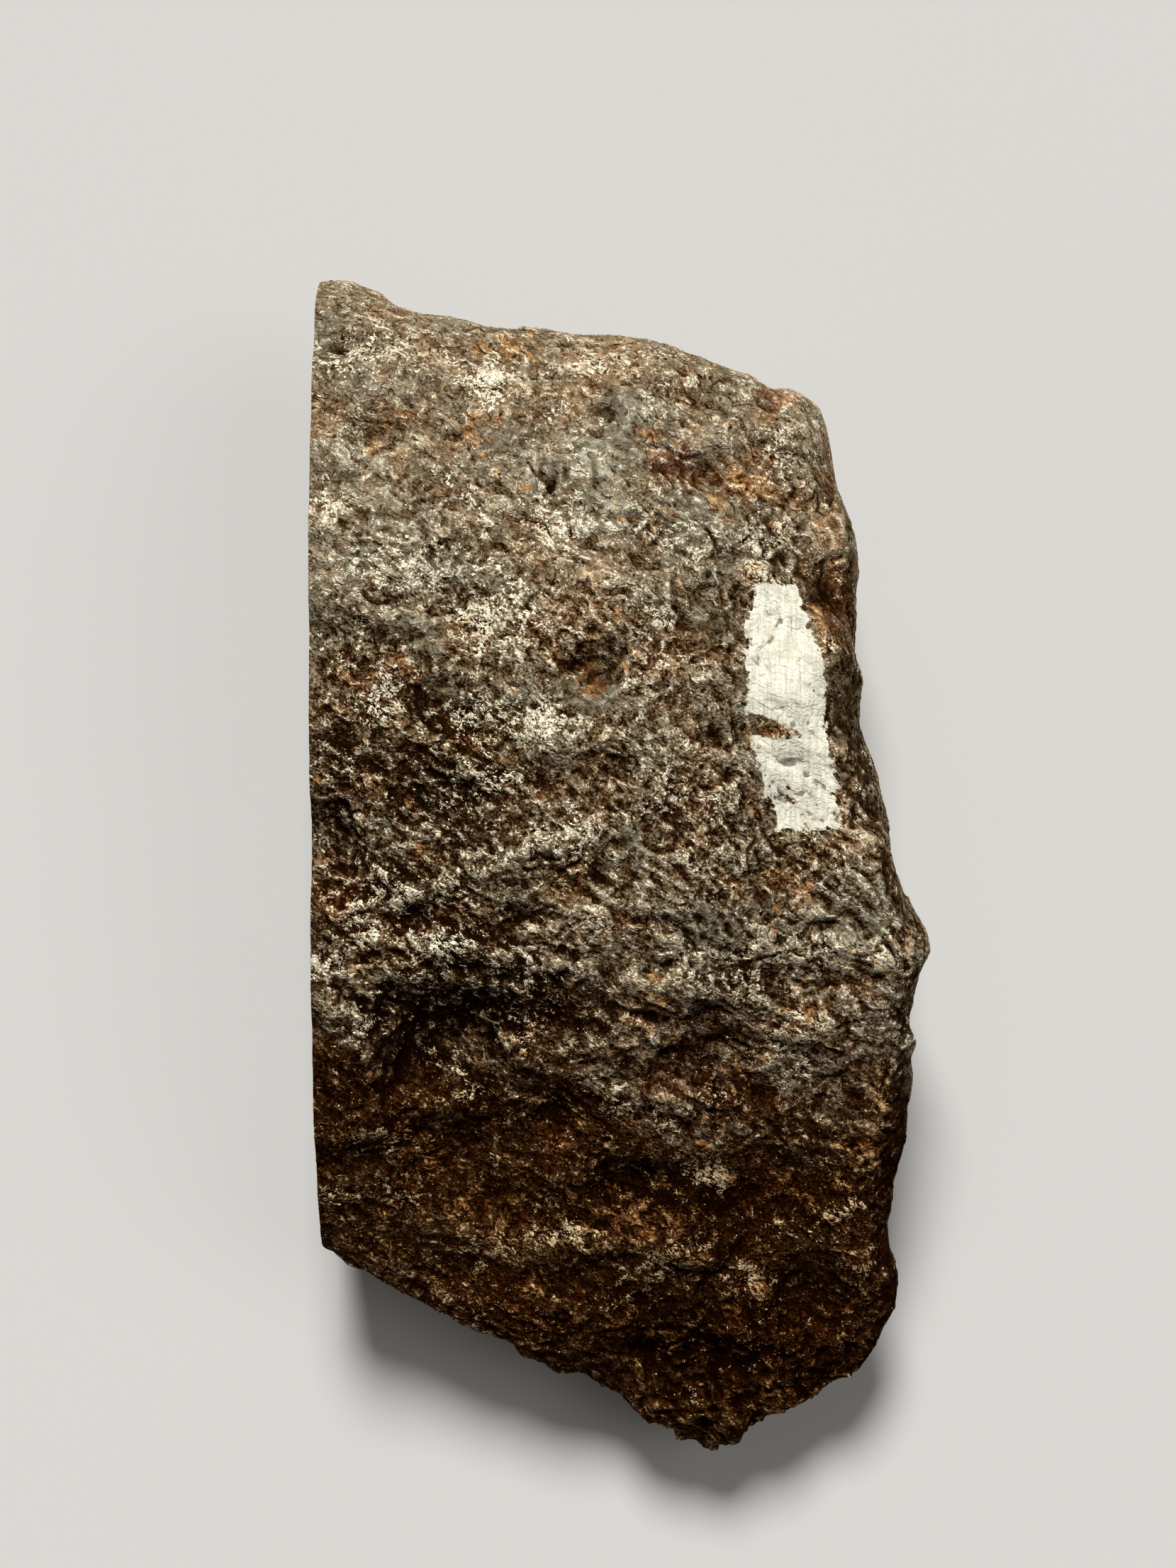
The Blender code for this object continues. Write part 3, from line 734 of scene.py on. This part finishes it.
def naturalFinish():
    material, shader, start = newMaterial("naturalIron")
    place = start.make("ShaderNodeTexCoord").other("Object")
    x, y, z = (place.part(axis) / mm for axis in range(3))
    crest, height, onTop, rustAt, redAt, bareAndGlintAt, shade, plateAt, slow, stray, cluster, hue = (
        start.make("ShaderNodeAttribute", {"attribute_name": name}).other("Fac")
        for name in ("crest", "height", "onTop", "rust", "red", "bare", "shade", "plate",
                     "slow", "stray", "cluster", "hue"))

    def ramped(value, name):  # the colour of that finish at this tone
        return start.make("ShaderNodeValToRGB", {"stops": finishSettings[name]}, {0: value})

    # grain of the patina from coarse to fine, drawn out along the flow
    look = patinaSettings
    bent = place.bent(look["bendSize"], look["bendReach"])
    turned = bent.turned(reliefSettings["Flow Angle"])
    coarse = turned.noise(look["coarseSize"], 4.0, 0.62, 3.0, (1.5, 1, 1))
    grit = turned.noise(look["gritSize"], 2.0, 0.7, 7.0, (1.9, 1, 1), 0.5)
    micro = place.noise(look["microSize"], 1.0, 0.7, 53.0, swirl=0.4)

    # the darker patina below the break, its darkness partly painted shade; painted shade over a
    # middle a little darker than the top; and smooth plates
    leanX, leanZ = look["lowerLean"]
    lower = y + x * leanX + (z - look["frontHeight"]) * leanZ
    lower = lower + (coarse - 0.5) * look["lowerWander"] + (slow - 0.5) * look["lowerWander"]
    lower = lower.ramp(*look["lowerZone"])
    middle = (y + (slow - 0.5) * look["middleWander"]).ramp(*look["middleZone"])
    plate = (plateAt + (coarse - 0.5) * 0.8).ramp(0.35, 0.55).larger(hue.ramp(0.42, 0.34) * 0.7)

    # small flakes, each with a painted shadow at its foot and a rubbed lip that is partly a painted
    # highlight
    terrace = turned.noise(look["flakeSize"], 3.0, 0.6, 61.0, (1.7, 1, 1), 0.3) * look["flakeSteps"]
    share = terrace.maths("FRACT", terrace)
    footShadow = share.ramp(0.22, 0.04) * coarse.ramp(0.40, 0.56)
    lipRubAndHighlight = share.ramp(0.62, 0.80) * share.ramp(0.98, 0.90) * coarse.ramp(0.40, 0.60)

    # tone: how light the patina is, painted light and shade included, and its colour at that tone
    fine = ((grit - 0.5) * look["fineTone"] + (micro - 0.5) * look["fineTone"]) * (1 - plate * 0.5)
    grain = fine + (coarse - 0.5) * look["coarseTone"]
    crest = crest.smaller(0.10) * (1 - lower * 0.4)
    tone = look["tone"] + grain * (middle * 0.4 + 1) + (slow - 0.5) * look["slowTone"]
    # raised points lighter and hollows darker: painted shade in the hollows, the raised points
    # partly rubbed wear and partly painted light
    tone = tone + crest * look["crestShadeAndWear"] + height * look["heightShadeAndWear"]
    # painted shadow at each flake's foot; each lip lighter, rubbed and partly a painted highlight
    tone = tone + lipRubAndHighlight * look["lipTone"] - footShadow * look["footShadowTone"]
    tone = tone + shade - middle * look["middleShade"]
    base = ramped(tone, "patina").blend(lower, ramped(tone - look["lowerTone"], "darkPatinaAndShade"))
    tint = hue * 0.7 + bent.noise(look["tintSize"], 3.0, 0.6, 71.0) * 0.3
    base = base.blend(tint.ramp(0.49, 0.60), finishSettings["warm"], "MULTIPLY")
    base = base.blend(tint.ramp(0.48, 0.38).larger(plate), finishSettings["cool"], "MULTIPLY")

    # rust in grains
    look = rustSettings
    rust = rustAt * look["patches"] + stray.ramp(*look["strayZone"]) * look["strays"]
    rust = rust + (coarse - 0.5) * look["coarse"] + (grit - 0.5) * look["grit"]
    rust = rust.ramp(*look["zone"])
    rustColour = ramped(tone, "rust").blend(redAt.ramp(*look["redZone"]), ramped(tone, "redRust"))
    base = base.blend(rust * look["cover"], rustColour)

    # rubbed bare metal and painted glints: thin broken shards, close together in clusters, and
    # specks all over
    look = bareSettings
    shard = turned.noise(look["shardSize"], 3.0, 0.62, 23.0, (1.6, 1, 1), 0.9) - 0.5
    rubbedAndGlint = bareAndGlintAt * (coarse.ramp(0.38, 0.58) * 0.8 + 0.2)
    rubbedAndGlint = rubbedAndGlint + cluster.ramp(0.50, 0.70) * 0.3 - lower * 0.1
    reach = rubbedAndGlint * look["rubbedReach"] + crest * look["crestReach"] + lipRubAndHighlight * look["lipReach"]
    reach = reach - plate * look["plateReach"] + look["shardReach"]
    bare = (reach - abs(shard)).ramp(-0.008, 0.012)
    bare = bare * (grit * 0.5 + micro * 0.5 + rubbedAndGlint * 0.10).ramp(*look["grainZone"])
    specks = place.noise(look["speckSize"], 2.0, 0.65, 31.0, swirl=0.9)
    specks = specks + rubbedAndGlint * look["rubbedSpecks"] + crest - plate * look["plateSpecks"]
    bare = bare.larger(specks.ramp(*look["speckZone"])) * (1 - footShadow)
    metal = ramped(grit * 0.6 + micro * 0.4, "metal")
    base = base.blend(bare, metal.blend(lower * 0.8, finishSettings["golden"], "MULTIPLY"))

    # brushed white paint patch with ragged edges
    look = paintSettings
    wobble = (coarse - 0.5) * 2.6 + (grit - 0.5) * 0.9
    sway = (stray - 0.5) * 1.2
    (footY, footSlope), (headY, headSlope) = look["leftFoot"], look["leftHead"]
    left = x - look["left"] - (footY - y).larger(0.0) * footSlope
    left = left - (y - headY).larger(0.0) * headSlope + wobble + sway
    highLine, lowLine = (atZero - y * slope for atZero, slope in look["right"])
    right = highLine.smaller(lowLine) - x + wobble - sway
    top = look["top"] - y + wobble * 0.8 + sway * 0.5
    bottom = y - look["bottom"] + wobble * 0.8 + sway * 0.5
    patch = left.smaller(right).smaller(top).smaller(bottom).ramp(-0.05, 0.12)

    # worn through in spots, along brush streaks and in one gap
    streak = place.noise(look["streakSize"], 3.0, 0.65, 41.0, (0.6, 8.0, 8.0))
    loss = (coarse.ramp(0.60, 0.66) * y.ramp(18.0, 8.0)).larger(streak.ramp(0.64, 0.74) * 0.4)
    (gapX, gapY), (halfX, halfY) = look["gapPlace"], look["gapHalf"]
    offX = (x - gapX) / halfX
    offY = (y - gapY + (x - gapX) * look["gapSlope"]) / halfY
    loss = loss.larger((offX * offX + offY * offY + wobble * 0.9).ramp(1.1, 0.7))
    paint = patch * (1 - loss) * (1 - crest.ramp(-0.03, -0.07) * 0.7) * onTop
    thin = (streak * 0.4 + grit * 0.3 + coarse * 0.3).ramp(*look["thinZone"])
    base = base.blend(paint, thin.between(finishSettings["paint"], finishSettings["paintThin"]))

    # gloss
    look = glossSettings
    metallic = (bare * look["bareMetal"] + look["ironMetal"]) * (1 - rust * 0.9) * (1 - paint)
    rough = look["ironRough"] - bare * look["bareRough"] + rust * look["rustRough"]
    rough = (rough + (grit - 0.5) * look["gritRough"]) * (1 - paint) + paint * look["paintRough"]

    # fine surface: the same grains and flakes stand out of it
    lift = coarse * 1.3 + grit * 0.85 + micro * 0.45 + (share - share.ramp(0.88, 1.0)) * 0.4
    lift = (lift - 1.4) * (1 - paint * 0.45)
    bump = start.make("ShaderNodeBump", None, {
        "Strength": 1.0, "Distance": patinaSettings["bumpHeight"], "Height": lift})
    start.fill(shader, {"Base Color": base, "Metallic": metallic, "Roughness": rough,
                        "Specular IOR Level": 0.0, "Normal": bump})
    return material


# Saw cut: sizes in metres
sawnSettings = {
    "markSize": 0.22 * mm,
    "markLength": 60,
    "markDepth": 0.04 * mm,
    "cloudSize": 9 * mm,
    "spotSize": 1.8 * mm,
    "metal": 0.9,
    "rough": 0.38,
}


def sawnFinish():
    # plain satin: fine straight marks, and a little rust bloom
    look = sawnSettings
    material, shader, start = newMaterial("sawnIron")
    place = start.make("ShaderNodeTexCoord").other("Object")
    marks = place.noise(look["markSize"], 2.0, 0.6, 3.0, (1, 1, look["markLength"]))
    cloud = place.noise(look["cloudSize"], 4.0, 0.6, 5.0)
    spots = place.noise(look["spotSize"], 4.0, 0.65, 9.0)
    base = cloud.ramp(0.3, 0.7).between(finishSettings["sawn"], finishSettings["sawnDull"])
    base = base.blend(marks.ramp(0.45, 0.7) * 0.35, finishSettings["sawnMark"])
    bloom = spots.ramp(0.60, 0.72) * cloud.ramp(0.45, 0.65)
    base = base.blend(bloom * 0.8, finishSettings["sawnRust"])
    bump = start.make("ShaderNodeBump", None, {
        "Strength": 0.4, "Distance": look["markDepth"], "Height": marks})
    start.fill(shader, {
        "Base Color": base, "Metallic": look["metal"] - bloom * 0.7,
        "Roughness": look["rough"] + marks * 0.15 + bloom * 0.3, "Normal": bump})
    return material


def makeStone():
    natural, sawn = naturalFinish(), sawnFinish()
    stone = stoneBase()
    addTree(stone, reliefTree(natural), reliefSettings)
    mesh = bakeModifiers(stone)
    print("stone relief made,", len(mesh.polygons), "faces")
    surfaceMeasures(mesh)
    mesh.calc_loop_triangles()
    thin = stone.modifiers.new("thin", "DECIMATE")
    thin.ratio = stoneSettings["triangles"] / len(mesh.loop_triangles)
    thin.use_collapse_triangulate = True
    mesh = bakeModifiers(stone)
    mesh.materials.clear()
    for material in (natural, sawn):
        mesh.materials.append(material)
    cutFlat(mesh, 1)
    patchMeasures(mesh)
    mesh.shade_smooth()
    mesh.set_sharp_from_angle(angle=stoneSettings["sharpAngle"])
    print("stone thinned,", len(mesh.polygons), "faces")
    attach(stone, "root")
    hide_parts("meteorite")


makeStone()
